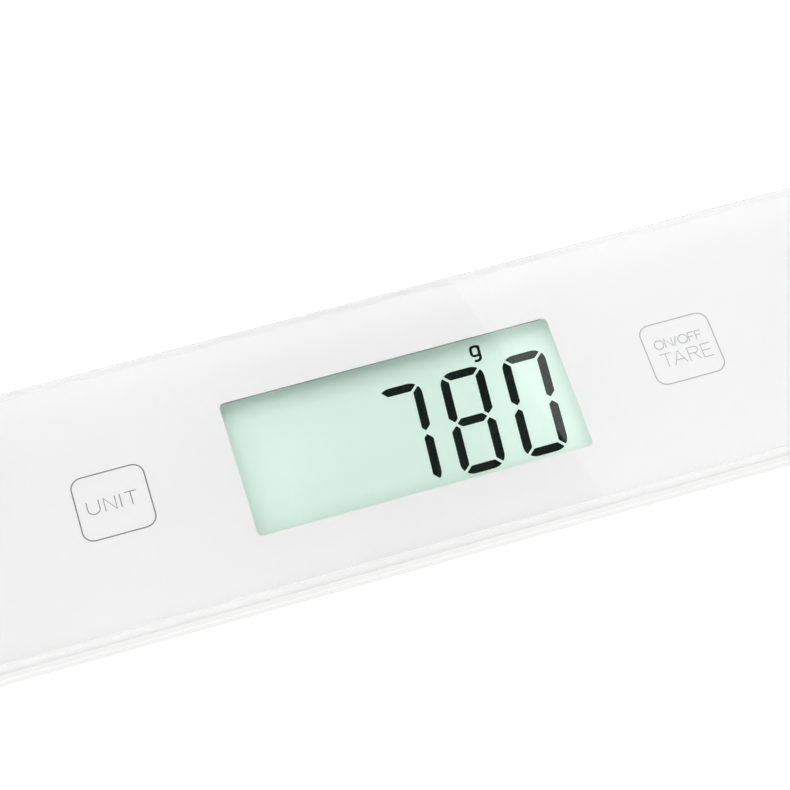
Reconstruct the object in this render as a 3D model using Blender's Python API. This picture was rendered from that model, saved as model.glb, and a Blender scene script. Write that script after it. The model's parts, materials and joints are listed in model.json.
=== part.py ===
"""Slim bar-shaped digital kitchen scale with a glass top.

Metres, +Z up. X runs along the bar, Y from the user's side to the far side, and the origin is on the
table under the middle of the scale. The glass is bonded to an upper frame, the frame is screwed to a
base tray, and the whole body stands on four feet, each pushing on its own load cell. The display, the
circuit board and the coin cell are inside, and a hinged door on the underside opens the battery bay.
"""
import math

import bmesh
import bpy
from mathutils import Vector

# Outline of the bar
BAR_LENGTH = 0.230
BAR_DEPTH = 0.0484
CORNER_RADIUS = 0.006

# Heights above the table
PAD_TOP = 0.0010
FOOT_DISC_TOP = 0.0030
BELLY_BOTTOM = 0.0020
TRAY_BOTTOM = 0.0035
FRAME_BOTTOM = 0.0065
GLASS_BOTTOM = 0.0092
GLASS_THICKNESS = 0.0040
BAND_GAP = 0.0003
TRAY_TOP = FRAME_BOTTOM - BAND_GAP
FRAME_TOP = GLASS_BOTTOM - BAND_GAP
LIP_TOP = 0.00695

# Walls and clearances
WALL = 0.0020
LIP_INSET = 0.0012
LIP_GAP = 0.0002
RIM_WIDTH = 0.0019
FLOOR = 0.0012
SEAT_GAP = 0.00015
FIT_GAP = 0.0003
THROUGH = 0.0010
TRAY_FLOOR_TOP = TRAY_BOTTOM + FLOOR
BELLY_FLOOR_TOP = BELLY_BOTTOM + FLOOR
DECK_BOTTOM = 0.0077
DECK_TOP = 0.0086

# Belly of the tray, between the feet
BELLY_LENGTH = 0.185
BELLY_DEPTH = 0.034
BELLY_RADIUS = 0.007

# Display window and display module
WINDOW_LENGTH = 0.060
WINDOW_DEPTH = 0.026
LCD_LENGTH = 0.064
LCD_DEPTH = 0.032
LCD_LEDGE = 0.0019
LCD_SPLIT_Z = 0.0061
LCD_PANE = 0.0009
REFLECTOR_THICKNESS = 0.00025
HOLDER_WALL = 0.0018
HOLDER_LIP_BOTTOM = 0.00715
HOLDER_TOP = 0.0075

# Circuit board
PCB_LENGTH = 0.122
PCB_DEPTH = 0.031
PCB_BOTTOM = 0.0036
PCB_THICKNESS = 0.0010
PCB_TOP = PCB_BOTTOM + PCB_THICKNESS
PCB_SCREW_X = 0.057
PCB_SCREW_Y = 0.0125
KEY_X = 0.0516

# Feet and load cells, one near each corner
FOOT_X = 0.1015
FOOT_Y = 0.0125
FOOT_RADIUS = 0.0063
STEM_RADIUS = 0.0035
CELL_LENGTH = 0.018
CELL_DEPTH = 0.016
CELL_THICKNESS = 0.0010
CELL_BOTTOM = TRAY_FLOOR_TOP + SEAT_GAP
CELL_TOP = CELL_BOTTOM + CELL_THICKNESS
SEAT_BOTTOM = CELL_TOP + SEAT_GAP
SEAT_TOP = DECK_BOTTOM - SEAT_GAP

# Battery bay and its door
COIN_X = 0.077
COIN_RADIUS = 0.010
COIN_BOTTOM = 0.0039
COIN_THICKNESS = 0.0032
BAY_RADIUS = 0.0104
DOOR_NEAR_X = 0.064
DOOR_FAR_X = 0.090
DOOR_WIDTH = 0.024
DOOR_THICKNESS = 0.0016
HINGE_X = DOOR_NEAR_X + DOOR_THICKNESS / 2
HINGE_Z = BELLY_BOTTOM + DOOR_THICKNESS / 2
SHELF_TOP = 0.0048

# Screws: heights, and the places of the six that close the case
CASE_SCREW_SEAT = 0.0049
CASE_SCREW_TIP = 0.0082
BOARD_SCREW_TIP = 0.0025
CASE_SCREW_PLACES = [(-0.1015, 0.0), (0.1015, 0.0), (-0.066, -0.0192), (0.066, -0.0192),
                     (-0.066, 0.0192), (0.066, 0.0192)]
CORNERS = {"front_left": (-1, -1), "front_right": (1, -1), "back_left": (-1, 1), "back_right": (1, 1)}

# Edge roundings and mesh fineness
GLASS_ARRIS = 0.0006
BAND_EDGE = 0.0004
TRAY_EDGE = 0.0008
EDGE_STEPS = 4
OUTER_STEPS = 10
ARC_STEPS = 5
ROUND_SIDES = 32
SCREW_SIDES = 16


def clear_scene():
    for item in list(bpy.data.objects):
        bpy.data.objects.remove(item, do_unlink=True)


def material(name, colour, roughness, metallic=0.0):
    found = bpy.data.materials.get(name)
    if found:
        return found
    made = bpy.data.materials.new(name)
    made.use_nodes = True
    shader = made.node_tree.nodes["Principled BSDF"]
    shader.inputs["Base Color"].default_value = (*colour, 1.0)
    shader.inputs["Roughness"].default_value = roughness
    shader.inputs["Metallic"].default_value = metallic
    made.diffuse_color = (*colour, 1.0)
    return made


def white_plastic():
    return material("white_abs", (0.87, 0.87, 0.86), 0.35)


def steel():
    return material("zinc_steel", (0.62, 0.62, 0.63), 0.3, 1.0)


def spring_metal():
    return material("nickel_bronze", (0.72, 0.66, 0.52), 0.28, 1.0)


def add_object(name, form, finish, place=(0.0, 0.0, 0.0), smooth=False):
    """Put a finished bmesh into the scene as one object with its own finish."""
    bmesh.ops.recalc_face_normals(form, faces=form.faces)
    mesh = bpy.data.meshes.new(name)
    form.to_mesh(mesh)
    form.free()
    if smooth:
        mesh.shade_smooth()
        mesh.set_sharp_from_angle(angle=math.radians(35))
    if finish:
        mesh.materials.append(finish)
    made = bpy.data.objects.new(name, mesh)
    made.location = place
    bpy.context.scene.collection.objects.link(made)
    return made


def rounded_outline(size_x, size_y, radius, steps=ARC_STEPS):
    """Points of a rectangle with round corners, anticlockwise, about the origin."""
    points = []
    for quarter in range(4):
        centre_angle = math.radians(45 + 90 * quarter)
        centre_x = math.copysign(size_x / 2 - radius, math.cos(centre_angle))
        centre_y = math.copysign(size_y / 2 - radius, math.sin(centre_angle))
        for step in range(steps + 1):
            angle = math.radians(90 * quarter + 90 * step / steps)
            points.append((centre_x + radius * math.cos(angle), centre_y + radius * math.sin(angle)))
    return points


def rounded_levels(low, high, low_radius, high_radius):
    """Levels of a slab whose lower and upper edges are quarter rounds."""
    angles = [math.radians(90 * step / EDGE_STEPS) for step in range(EDGE_STEPS + 1)]
    lower = [(low_radius * (1 - math.sin(a)), low + low_radius * (1 - math.cos(a))) for a in angles]
    upper = [(high_radius * (1 - math.cos(a)), high - high_radius * (1 - math.sin(a))) for a in angles]
    return lower + upper


def circle_outline(radius, sides):
    turn = 2 * math.pi / sides
    return [(radius * math.cos(turn * i), radius * math.sin(turn * i)) for i in range(sides)]


def skin_rings(form, rings):
    """Close a body through rings of equal point counts, from the lowest to the highest."""
    loops = [[form.verts.new(point) for point in ring] for ring in rings]
    count = len(loops[0])
    for low, high in zip(loops, loops[1:]):
        for i in range(count):
            after = (i + 1) % count
            form.faces.new((low[i], low[after], high[after], high[i]))
    form.faces.new(list(reversed(loops[0])))
    form.faces.new(loops[-1])


def slab(name, size, radius, levels, finish=None, place=(0.0, 0.0, 0.0), steps=ARC_STEPS, smooth=False):
    """A rounded rectangle carried up through levels, each a pair (inset, height)."""
    form = bmesh.new()
    rings = []
    for inset, height in levels:
        outline = rounded_outline(size[0] - 2 * inset, size[1] - 2 * inset, radius - inset, steps)
        rings.append([(x, y, height) for x, y in outline])
    skin_rings(form, rings)
    return add_object(name, form, finish, place, smooth)


def block(name, low, high, finish=None, place=(0.0, 0.0, 0.0)):
    """A plain rectangular block between two opposite corners."""
    form = bmesh.new()
    rings = [[(low[0], low[1], z), (high[0], low[1], z), (high[0], high[1], z), (low[0], high[1], z)]
             for z in (low[2], high[2])]
    skin_rings(form, rings)
    return add_object(name, form, finish, place)


def turned(name, profile, finish=None, place=(0.0, 0.0, 0.0), sides=ROUND_SIDES, smooth=True):
    """A body of revolution about Z through profile points (radius, height), bottom to top."""
    form = bmesh.new()
    rings = [[(x, y, height) for x, y in circle_outline(radius, sides)] for radius, height in profile]
    skin_rings(form, rings)
    return add_object(name, form, finish, place, smooth)


def extruded(name, outline, axis, low, high, finish=None, place=(0.0, 0.0, 0.0)):
    """An outline drawn across one axis ("Y" or "Z") and carried along it from low to high."""
    form = bmesh.new()
    if axis == "Z":
        rings = [[(a, b, level) for a, b in outline] for level in (low, high)]
    else:
        rings = [[(a, level, b) for a, b in outline] for level in (low, high)]
    skin_rings(form, rings)
    return add_object(name, form, finish, place)


def rod_along_y(name, radius, low, high, place, finish=None, sides=SCREW_SIDES):
    return extruded(name, circle_outline(radius, sides), "Y", low, high, finish, place)


def combine(body, tool, operation):
    """Cut a tool out of a body or weld it on, and keep the tool as a hidden guide."""
    change = body.modifiers.new(tool.name, "BOOLEAN")
    change.operation = operation
    change.solver = "EXACT"
    change.object = tool
    tool.hide_render = True
    tool.display_type = "WIRE"


def cut(body, *tools):
    for tool in tools:
        combine(body, tool, "DIFFERENCE")


def weld(body, *tools):
    for tool in tools:
        combine(body, tool, "UNION")


def smooth_route(points, steps):
    """Points on a smooth curve through the route's own points (Catmull-Rom)."""
    knots = [Vector(point) for point in points]
    knots = [2 * knots[0] - knots[1]] + knots + [2 * knots[-1] - knots[-2]]
    route = []
    for before, start, end, after in zip(knots, knots[1:], knots[2:], knots[3:]):
        for step in range(steps):
            t = step / steps
            route.append(0.5 * (2 * start + (end - before) * t
                                + (2 * before - 5 * start + 4 * end - after) * t ** 2
                                + (3 * start - before - 3 * end + after) * t ** 3))
    route.append(knots[-2])
    return route


def tube(name, route, radius, finish):
    """A round wire along a route, with closed ends."""
    curve = bpy.data.curves.new(name, "CURVE")
    curve.dimensions = "3D"
    curve.bevel_depth = radius
    curve.bevel_resolution = 2
    curve.use_fill_caps = True
    spline = curve.splines.new("POLY")
    spline.points.add(len(route) - 1)
    for point, place in zip(spline.points, route):
        point.co = (*place, 1.0)
    curve.materials.append(finish)
    made = bpy.data.objects.new(name, curve)
    bpy.context.scene.collection.objects.link(made)
    return made


def glass_top():
    """Tempered glass plate with ground and polished edges; its back is printed white."""
    levels = rounded_levels(GLASS_BOTTOM, GLASS_BOTTOM + GLASS_THICKNESS, GLASS_ARRIS / 2, GLASS_ARRIS)
    glass = material("printed_glass", (0.88, 0.90, 0.89), 0.04)
    slab("glass_top", (BAR_LENGTH, BAR_DEPTH), CORNER_RADIUS, levels, glass, steps=OUTER_STEPS, smooth=True)


def glass_adhesive():
    """Double-sided sheet that bonds the glass, cut out at the display and at both keys."""
    margin = RIM_WIDTH + FIT_GAP
    low = DECK_TOP + SEAT_GAP
    high = GLASS_BOTTOM - SEAT_GAP
    sheet = slab("glass_adhesive", (BAR_LENGTH - 2 * margin, BAR_DEPTH - 2 * margin), 0.004,
                 [(0.0, low), (0.0, high)], material("adhesive_sheet", (0.85, 0.85, 0.82), 0.6), steps=4)
    opening = slab("adhesive_window", (WINDOW_LENGTH + 0.002, WINDOW_DEPTH + 0.002), 0.0015,
                   [(0.0, low - THROUGH), (0.0, high + THROUGH)], steps=3)
    cut(sheet, opening, *key_holes("adhesive", low, high))


def key_holes(name, low, high):
    """Round cutters where the touch springs reach the glass."""
    profile = [(0.005, low - THROUGH), (0.005, high + THROUGH)]
    return [turned(f"{name}_key_hole_{side}", profile, place=(x, 0.0, 0.0), sides=SCREW_SIDES)
            for side, x in (("left", -KEY_X), ("right", KEY_X))]


def upper_frame():
    """Upper housing: a band under the glass, a deck that carries it, and bosses for the screws."""
    inner = (BAR_LENGTH - 2 * WALL, BAR_DEPTH - 2 * WALL)
    frame = slab("upper_frame", (BAR_LENGTH, BAR_DEPTH), CORNER_RADIUS,
                 rounded_levels(FRAME_BOTTOM, FRAME_TOP, BAND_EDGE, BAND_EDGE), white_plastic(),
                 steps=OUTER_STEPS)
    hollow = slab("frame_hollow", inner, CORNER_RADIUS - WALL,
                  [(0.0, FRAME_BOTTOM - THROUGH), (0.0, DECK_BOTTOM)])
    recess = slab("frame_recess", (BAR_LENGTH - 2 * RIM_WIDTH, BAR_DEPTH - 2 * RIM_WIDTH),
                  CORNER_RADIUS - RIM_WIDTH, [(0.0, DECK_TOP), (0.0, FRAME_TOP + THROUGH)])
    window = slab("frame_window", (WINDOW_LENGTH + 0.0035, WINDOW_DEPTH + 0.004), 0.0015,
                  [(0.0, DECK_BOTTOM - THROUGH), (0.0, FRAME_TOP + THROUGH)], steps=3)
    rebate_inset = LIP_INSET - LIP_GAP
    rebate = slab("frame_rebate", (BAR_LENGTH - 2 * rebate_inset, BAR_DEPTH - 2 * rebate_inset),
                  CORNER_RADIUS - rebate_inset, [(0.0, FRAME_BOTTOM - THROUGH), (0.0, LIP_TOP + LIP_GAP)])
    cut(frame, hollow, rebate, recess)
    for side in (-1, 1):
        rib_y = side * 0.0196
        weld(frame, block(f"frame_rib_{side}", (-0.058, rib_y - 0.0005, 0.0070),
                          (0.058, rib_y + 0.0005, DECK_BOTTOM + FIT_GAP)))
        cross_x = side * 0.042
        weld(frame, block(f"frame_cross_rib_{side}", (cross_x - 0.0005, -0.0224, 0.0071),
                          (cross_x + 0.0005, 0.0224, DECK_BOTTOM + FIT_GAP)))
    boss = [(0.0023, FRAME_BOTTOM), (0.0023, DECK_BOTTOM + FIT_GAP)]
    for index, (x, y) in enumerate(CASE_SCREW_PLACES):
        weld(frame, turned(f"frame_boss_{index}", boss, place=(x, y, 0.0), sides=SCREW_SIDES))
    cut(frame, window, *key_holes("frame", DECK_BOTTOM, DECK_TOP))
    pilot = [(0.0011, FRAME_BOTTOM - THROUGH), (0.0011, CASE_SCREW_TIP + FIT_GAP / 2)]
    for index, (x, y) in enumerate(CASE_SCREW_PLACES):
        cut(frame, turned(f"frame_pilot_{index}", pilot, place=(x, y, 0.0), sides=SCREW_SIDES))


def base_tray():
    """Lower housing: floor, band and belly, with the bay for the coin cell and holes for the feet."""
    tray = slab("base_tray", (BAR_LENGTH, BAR_DEPTH), CORNER_RADIUS,
                rounded_levels(TRAY_BOTTOM, TRAY_TOP, TRAY_EDGE, BAND_EDGE), white_plastic(),
                steps=OUTER_STEPS)
    belly = rounded_levels(BELLY_BOTTOM, TRAY_BOTTOM + FIT_GAP, TRAY_EDGE, 0.0)[:EDGE_STEPS + 2]
    weld(tray, slab("tray_belly", (BELLY_LENGTH, BELLY_DEPTH), BELLY_RADIUS, belly, steps=OUTER_STEPS))
    weld(tray, slab("tray_lip", (BAR_LENGTH - 2 * LIP_INSET, BAR_DEPTH - 2 * LIP_INSET),
                    CORNER_RADIUS - LIP_INSET, [(0.0, TRAY_BOTTOM + BAND_EDGE), (0.0, LIP_TOP)]))
    cut(tray, slab("tray_hollow", (BAR_LENGTH - 2 * WALL, BAR_DEPTH - 2 * WALL), CORNER_RADIUS - WALL,
                   [(0.0, TRAY_FLOOR_TOP), (0.0, LIP_TOP + THROUGH)]))
    cut(tray, slab("tray_belly_hollow", (BELLY_LENGTH - 2 * FLOOR, BELLY_DEPTH - 2 * FLOOR),
                   BELLY_RADIUS - FLOOR, [(0.0, BELLY_FLOOR_TOP), (0.0, TRAY_FLOOR_TOP + THROUGH)]))
    add_battery_bay(tray)
    add_tray_bosses(tray)
    for corner, (side_x, side_y) in CORNERS.items():
        cut(tray, turned(f"foot_hole_{corner}",
                         [(0.0040, TRAY_BOTTOM - THROUGH), (0.0040, TRAY_FLOOR_TOP + THROUGH)],
                         place=(side_x * FOOT_X, side_y * FOOT_Y, 0.0)))


def add_battery_bay(tray):
    """Raised block with the door's recess under it and the coin's round wall on it."""
    half_door = DOOR_WIDTH / 2 + FIT_GAP
    coin_place = (COIN_X, 0.0, 0.0)
    recess_top = BELLY_BOTTOM + DOOR_THICKNESS + FIT_GAP - 0.0001
    weld(tray, block("bay_block", (0.0622, -0.0142, BELLY_BOTTOM + 0.0005), (0.0915, 0.0142, SHELF_TOP)))
    weld(tray, turned("bay_wall", [(BAY_RADIUS + FLOOR, SHELF_TOP - FIT_GAP), (BAY_RADIUS + FLOOR, 0.0070)],
                      place=coin_place))
    cut(tray, turned("bay_bore", [(BAY_RADIUS, BELLY_BOTTOM), (BAY_RADIUS, 0.0080)], place=coin_place))
    cut(tray, block("bay_contact_slot", (0.0640, -0.0030, 0.0049), (0.0690, 0.0030, 0.0080)))
    cut(tray, block("door_recess", (DOOR_NEAR_X - FIT_GAP, -half_door, BELLY_BOTTOM - THROUGH),
                    (DOOR_FAR_X + FIT_GAP, half_door, recess_top)))
    cut(tray, rod_along_y("hinge_sockets", 0.00065, -0.0133, 0.0133, (HINGE_X, 0.0, HINGE_Z)))
    cut(tray, block("latch_slot", (0.0888, -0.0034, recess_top - 0.0005),
                    (DOOR_FAR_X + 0.0001, 0.0034, SHELF_TOP + 0.0004)))
    cut(tray, turned("finger_notch", [(0.0040, BELLY_BOTTOM - THROUGH), (0.0040, BELLY_BOTTOM + 0.0006)],
                     place=(0.0912, 0.0, 0.0), sides=SCREW_SIDES))


def add_tray_bosses(tray):
    """Bosses that the board's screws and the case's screws go through or into."""
    board_boss = [(0.0020, BOARD_SCREW_TIP), (0.0020, PCB_BOTTOM - SEAT_GAP)]
    board_pilot = [(0.00095, BOARD_SCREW_TIP - SEAT_GAP), (0.00095, PCB_BOTTOM)]
    for index, (side_x, side_y) in enumerate(CORNERS.values()):
        place = (side_x * PCB_SCREW_X, side_y * PCB_SCREW_Y, 0.0)
        weld(tray, turned(f"board_boss_{index}", board_boss, place=place, sides=SCREW_SIDES))
        cut(tray, turned(f"board_pilot_{index}", board_pilot, place=place, sides=SCREW_SIDES))
    case_boss = [(0.0026, TRAY_BOTTOM + BAND_EDGE), (0.0026, TRAY_TOP)]
    counterbore = [(0.0020, TRAY_BOTTOM - THROUGH), (0.0020, CASE_SCREW_SEAT + 0.0001)]
    clearance = [(0.0012, CASE_SCREW_SEAT - BAND_EDGE), (0.0012, TRAY_TOP + THROUGH)]
    for index, place in enumerate((x, y, 0.0) for x, y in CASE_SCREW_PLACES):
        weld(tray, turned(f"tray_boss_{index}", case_boss, place=place, sides=SCREW_SIDES))
        cut(tray, turned(f"tray_counterbore_{index}", counterbore, place=place, sides=SCREW_SIDES))
        cut(tray, turned(f"tray_clearance_{index}", clearance, place=place, sides=SCREW_SIDES))


def battery_door():
    """Door of the battery bay, with its round hinge edge, two pins, a latch tab and grip grooves."""
    half = DOOR_THICKNESS / 2
    length = DOOR_FAR_X - HINGE_X
    outline = [(half * math.sin(angle), -half * math.cos(angle))
               for angle in (math.radians(-180 * step / 8) for step in range(9))]
    outline = [(length, -half), (length, half)] + list(reversed(outline))
    place = (HINGE_X, 0.0, HINGE_Z)
    door = extruded("battery_door", outline, "Y", -DOOR_WIDTH / 2, DOOR_WIDTH / 2, white_plastic(), place)
    for side in (-1, 1):
        ends = sorted((side * (DOOR_WIDTH / 2 - 0.0004), side * (DOOR_WIDTH / 2 + 0.0010)))
        weld(door, rod_along_y(f"door_pin_{side}", 0.0005, ends[0], ends[1], place, sides=12))
    weld(door, block("door_latch", (length - 0.0009, -0.0030, half - 0.0003),
                     (length - 0.0002, 0.0030, 0.0018), place=place))
    for index in range(3):
        middle = length - 0.0035 - 0.0015 * index
        cut(door, block(f"door_groove_{index}", (middle - 0.0004, -0.0060, -half - THROUGH),
                        (middle + 0.0004, 0.0060, -half + 0.0004), place=place))


def display():
    """Display cell with its two panes, its reflector, its holder and its two rubber connectors."""
    lower_depth = LCD_DEPTH - 2 * LCD_LEDGE
    cell = slab("lcd_cell", (LCD_LENGTH, LCD_DEPTH), 0.0004,
                [(0.0, LCD_SPLIT_Z), (0.0, LCD_SPLIT_Z + LCD_PANE)],
                material("display_glass", (0.72, 0.82, 0.76), 0.1), steps=2)
    weld(cell, block("lcd_lower_pane", (-LCD_LENGTH / 2 + 0.0001, -lower_depth / 2, LCD_SPLIT_Z - LCD_PANE),
                     (LCD_LENGTH / 2 - 0.0001, lower_depth / 2, LCD_SPLIT_Z + 0.0002)))
    reflector_top = LCD_SPLIT_Z - LCD_PANE - SEAT_GAP
    block("lcd_reflector", (-0.0315, -lower_depth / 2, reflector_top - REFLECTOR_THICKNESS),
          (0.0315, lower_depth / 2, reflector_top), material("mint_film", (0.62, 0.86, 0.72), 0.4))
    holder = slab("lcd_holder", (LCD_LENGTH + 0.0004 + 2 * HOLDER_WALL, LCD_DEPTH + 0.0004 + 2 * HOLDER_WALL),
                  0.0010, [(0.0, 0.0049), (0.0, HOLDER_TOP)], white_plastic(), steps=3)
    cut(holder, block("holder_hollow", (-LCD_LENGTH / 2 - 0.0002, -LCD_DEPTH / 2 - 0.0002, 0.0040),
                      (LCD_LENGTH / 2 + 0.0002, LCD_DEPTH / 2 + 0.0002, HOLDER_LIP_BOTTOM)))
    cut(holder, block("holder_window", (-0.03125, -0.0143, 0.0060), (0.03125, 0.0143, HOLDER_TOP + THROUGH)))
    connector = material("zebra_rubber", (0.85, 0.45, 0.55), 0.6)
    for side, name in ((-1, "front"), (1, "back")):
        inner, outer = side * 0.0143, side * 0.0154
        block(f"zebra_strip_{name}", (-0.030, min(inner, outer), PCB_TOP + SEAT_GAP),
              (0.030, max(inner, outer), LCD_SPLIT_Z - SEAT_GAP), connector)


def main_board():
    """Circuit board with its chips, and the two springs that sense a finger through the glass."""
    board = slab("main_pcb", (PCB_LENGTH, PCB_DEPTH), 0.0010, [(0.0, PCB_BOTTOM), (0.0, PCB_TOP)],
                 material("green_board", (0.03, 0.25, 0.10), 0.45), steps=3)
    hole = [(0.0011, PCB_BOTTOM - THROUGH), (0.0011, PCB_TOP + THROUGH)]
    for index, (side_x, side_y) in enumerate(CORNERS.values()):
        cut(board, turned(f"board_hole_{index}", hole, place=(side_x * PCB_SCREW_X, side_y * PCB_SCREW_Y, 0.0),
                          sides=SCREW_SIDES))
    chip = material("chip_resin", (0.03, 0.03, 0.035), 0.5)
    base = PCB_TOP + 0.0001
    slab("controller_chip", (0.0070, 0.0070), 0.0004,
         [(0.0, base), (0.0, base + 0.0007), (0.0003, base + 0.0012)], chip, (-0.0405, 0.0045, 0.0), steps=2)
    slab("converter_chip", (0.0039, 0.0099), 0.0003,
         [(0.0, base), (0.0, base + 0.0009), (0.0003, base + 0.0015)], chip, (0.0400, 0.0045, 0.0), steps=2)
    rod_along_y("quartz_crystal", 0.0010, -0.0030, 0.0030, (-0.0405, -0.0065, base + 0.0010), steel())
    turned("capacitor", [(0.0020, base), (0.0020, base + 0.0020), (0.0017, base + 0.0022)],
           material("can_aluminium", (0.75, 0.75, 0.76), 0.3, 1.0), (0.0400, -0.0065, 0.0), SCREW_SIDES)
    for side, x in (("left", -KEY_X), ("right", KEY_X)):
        touch_spring(f"touch_spring_{side}", x)


def touch_spring(name, x):
    """Coil spring from the board to the glass: radius constant, height rising with the turns."""
    wire = 0.00025
    turns = 4
    points_per_turn = 14
    low = PCB_TOP + wire + SEAT_GAP
    high = GLASS_BOTTOM - wire - SEAT_GAP
    route = []
    for step in range(turns * points_per_turn + 1):
        angle = 2 * math.pi * step / points_per_turn
        height = low + (high - low) * step / (turns * points_per_turn)
        route.append(Vector((x + 0.0034 * math.cos(angle), 0.0034 * math.sin(angle), height)))
    tube(name, route, wire, spring_metal())


def feet_and_cells():
    """At each corner: rubber pad, foot with its stem, load cell, strain gauge, seat ring and lead."""
    for corner, (side_x, side_y) in CORNERS.items():
        place = (side_x * FOOT_X, side_y * FOOT_Y, 0.0)
        recess = 0.0056
        stem_top = TRAY_FLOOR_TOP
        turned(f"foot_pad_{corner}", [(0.0050, 0.0), (0.0054, 0.0004), (0.0054, PAD_TOP)],
               material("grey_rubber", (0.35, 0.35, 0.35), 0.8), place)
        foot = turned(f"foot_{corner}",
                      [(FOOT_RADIUS - 0.0002, 0.0005), (FOOT_RADIUS, 0.0008), (FOOT_RADIUS, 0.0026),
                       (FOOT_RADIUS - 0.0004, FOOT_DISC_TOP), (STEM_RADIUS, FOOT_DISC_TOP),
                       (STEM_RADIUS, stem_top - 0.0003), (STEM_RADIUS - 0.0003, stem_top)],
                      white_plastic(), place)
        cut(foot, turned(f"foot_recess_{corner}", [(recess, 0.0), (recess, PAD_TOP + SEAT_GAP)], place=place))
        load_cell(corner, side_x, place)
        cell_lead(corner, side_x, side_y)


def load_cell(corner, side_x, place):
    """Stamped steel cell: an outer frame and a tongue, freed by a U-shaped slot, that the foot pushes."""
    half_x, half_y = CELL_LENGTH / 2, CELL_DEPTH / 2
    cell = block(f"load_cell_{corner}", (-half_x, -half_y, CELL_BOTTOM), (half_x, half_y, CELL_TOP),
                 steel(), place)
    root, slot_end, tongue_end = -0.0040, 0.0062, 0.0050
    tongue_half, slot_half = 0.0034, 0.0048
    slot = [(root, tongue_half), (tongue_end, tongue_half), (tongue_end, -tongue_half), (root, -tongue_half),
            (root, -slot_half), (slot_end, -slot_half), (slot_end, slot_half), (root, slot_half)]
    slot = [(side_x * x, y) for x, y in slot]
    if side_x > 0:
        slot.reverse()
    cut(cell, extruded(f"cell_slot_{corner}", slot, "Z", CELL_BOTTOM - THROUGH, CELL_TOP + THROUGH,
                       place=place))
    gauge_x = sorted((side_x * -0.0055, side_x * -0.0029))
    block(f"strain_gauge_{corner}", (gauge_x[0], -0.0014, CELL_TOP + 0.0001),
          (gauge_x[1], 0.0014, CELL_TOP + 0.0003), material("gauge_foil", (0.80, 0.55, 0.25), 0.5), place)
    seat = block(f"cell_seat_{corner}", (-half_x, -half_y, SEAT_BOTTOM), (half_x, half_y, SEAT_TOP),
                 white_plastic(), place)
    cut(seat, block(f"seat_window_{corner}", (-0.0064, -0.0055, SEAT_BOTTOM - THROUGH),
                    (0.0064, 0.0055, SEAT_TOP + THROUGH), place=place))
    notch_x = sorted((side_x * -0.0100, side_x * -0.0060))
    cut(seat, block(f"seat_notch_{corner}", (notch_x[0], -0.0009, SEAT_BOTTOM - THROUGH),
                    (notch_x[1], 0.0009, 0.0071), place=place))


def cell_lead(corner, side_x, side_y):
    """Lead from the strain gauge, through the seat's notch and beside the bay, to the board."""
    route = [(0.0975, 0.0125, 0.00662), (0.0945, 0.0125, 0.00655), (0.0915, 0.0126, 0.0064),
             (0.0885, 0.0131, 0.0059), (0.0850, 0.0135, 0.0056), (0.0760, 0.0136, 0.0056),
             (0.0670, 0.0135, 0.0056), (0.0640, 0.0124, 0.0056), (0.0615, 0.0098, 0.0055),
             (0.0585, 0.0082, 0.0052)]
    route = [(side_x * x, side_y * y, z) for x, y, z in route]
    tube(f"cell_lead_{corner}", smooth_route(route, 3), 0.00045,
         material("lead_sleeve", (0.75, 0.75, 0.72), 0.5))


def battery():
    """Coin cell, its two contacts and their leads to the board."""
    rim = 0.0003
    top = COIN_BOTTOM + COIN_THICKNESS
    turned("coin_cell", [(COIN_RADIUS - rim, COIN_BOTTOM), (COIN_RADIUS, COIN_BOTTOM + rim),
                         (COIN_RADIUS, top - 0.0008), (COIN_RADIUS - 0.0012, top - 0.0005),
                         (COIN_RADIUS - 0.0015, top)],
           material("cell_can", (0.78, 0.78, 0.80), 0.22, 1.0), (COIN_X, 0.0, 0.0), 40)
    sheet = 0.00025
    foot_low = SHELF_TOP + sheet
    side_x = COIN_X - COIN_RADIUS - 0.0002
    plus = [(0.0646, foot_low), (side_x, foot_low), (side_x, 0.0070), (side_x - sheet, 0.0070),
            (side_x - sheet, foot_low + sheet), (0.0646, foot_low + sheet)]
    extruded("battery_contact_plus", plus, "Y", -0.0024, 0.0024, spring_metal())
    bridge_low = top + 0.00015
    minus = [(0.0645, foot_low), (0.0645 + sheet, foot_low), (0.0645 + sheet, bridge_low),
             (COIN_X, bridge_low), (COIN_X, bridge_low + sheet), (0.0645, bridge_low + sheet)]
    extruded("battery_contact_minus", minus, "Y", 0.0045, 0.0085, spring_metal())
    routes = {"plus": [(0.0655, 0.0, 0.0059), (0.0640, 0.0, 0.0061), (0.0620, 0.0, 0.0058),
                       (0.0595, 0.0, 0.0052)],
              "minus": [(0.0639, 0.0060, 0.0062), (0.0630, 0.0060, 0.0061), (0.0615, 0.0055, 0.0057),
                        (0.0592, 0.0048, 0.0052)]}
    sleeves = {"plus": (0.65, 0.05, 0.04), "minus": (0.03, 0.03, 0.03)}
    for pole, route in routes.items():
        tube(f"battery_lead_{pole}", smooth_route(route, 4), 0.0004,
             material(f"{pole}_sleeve", sleeves[pole], 0.5))


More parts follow.
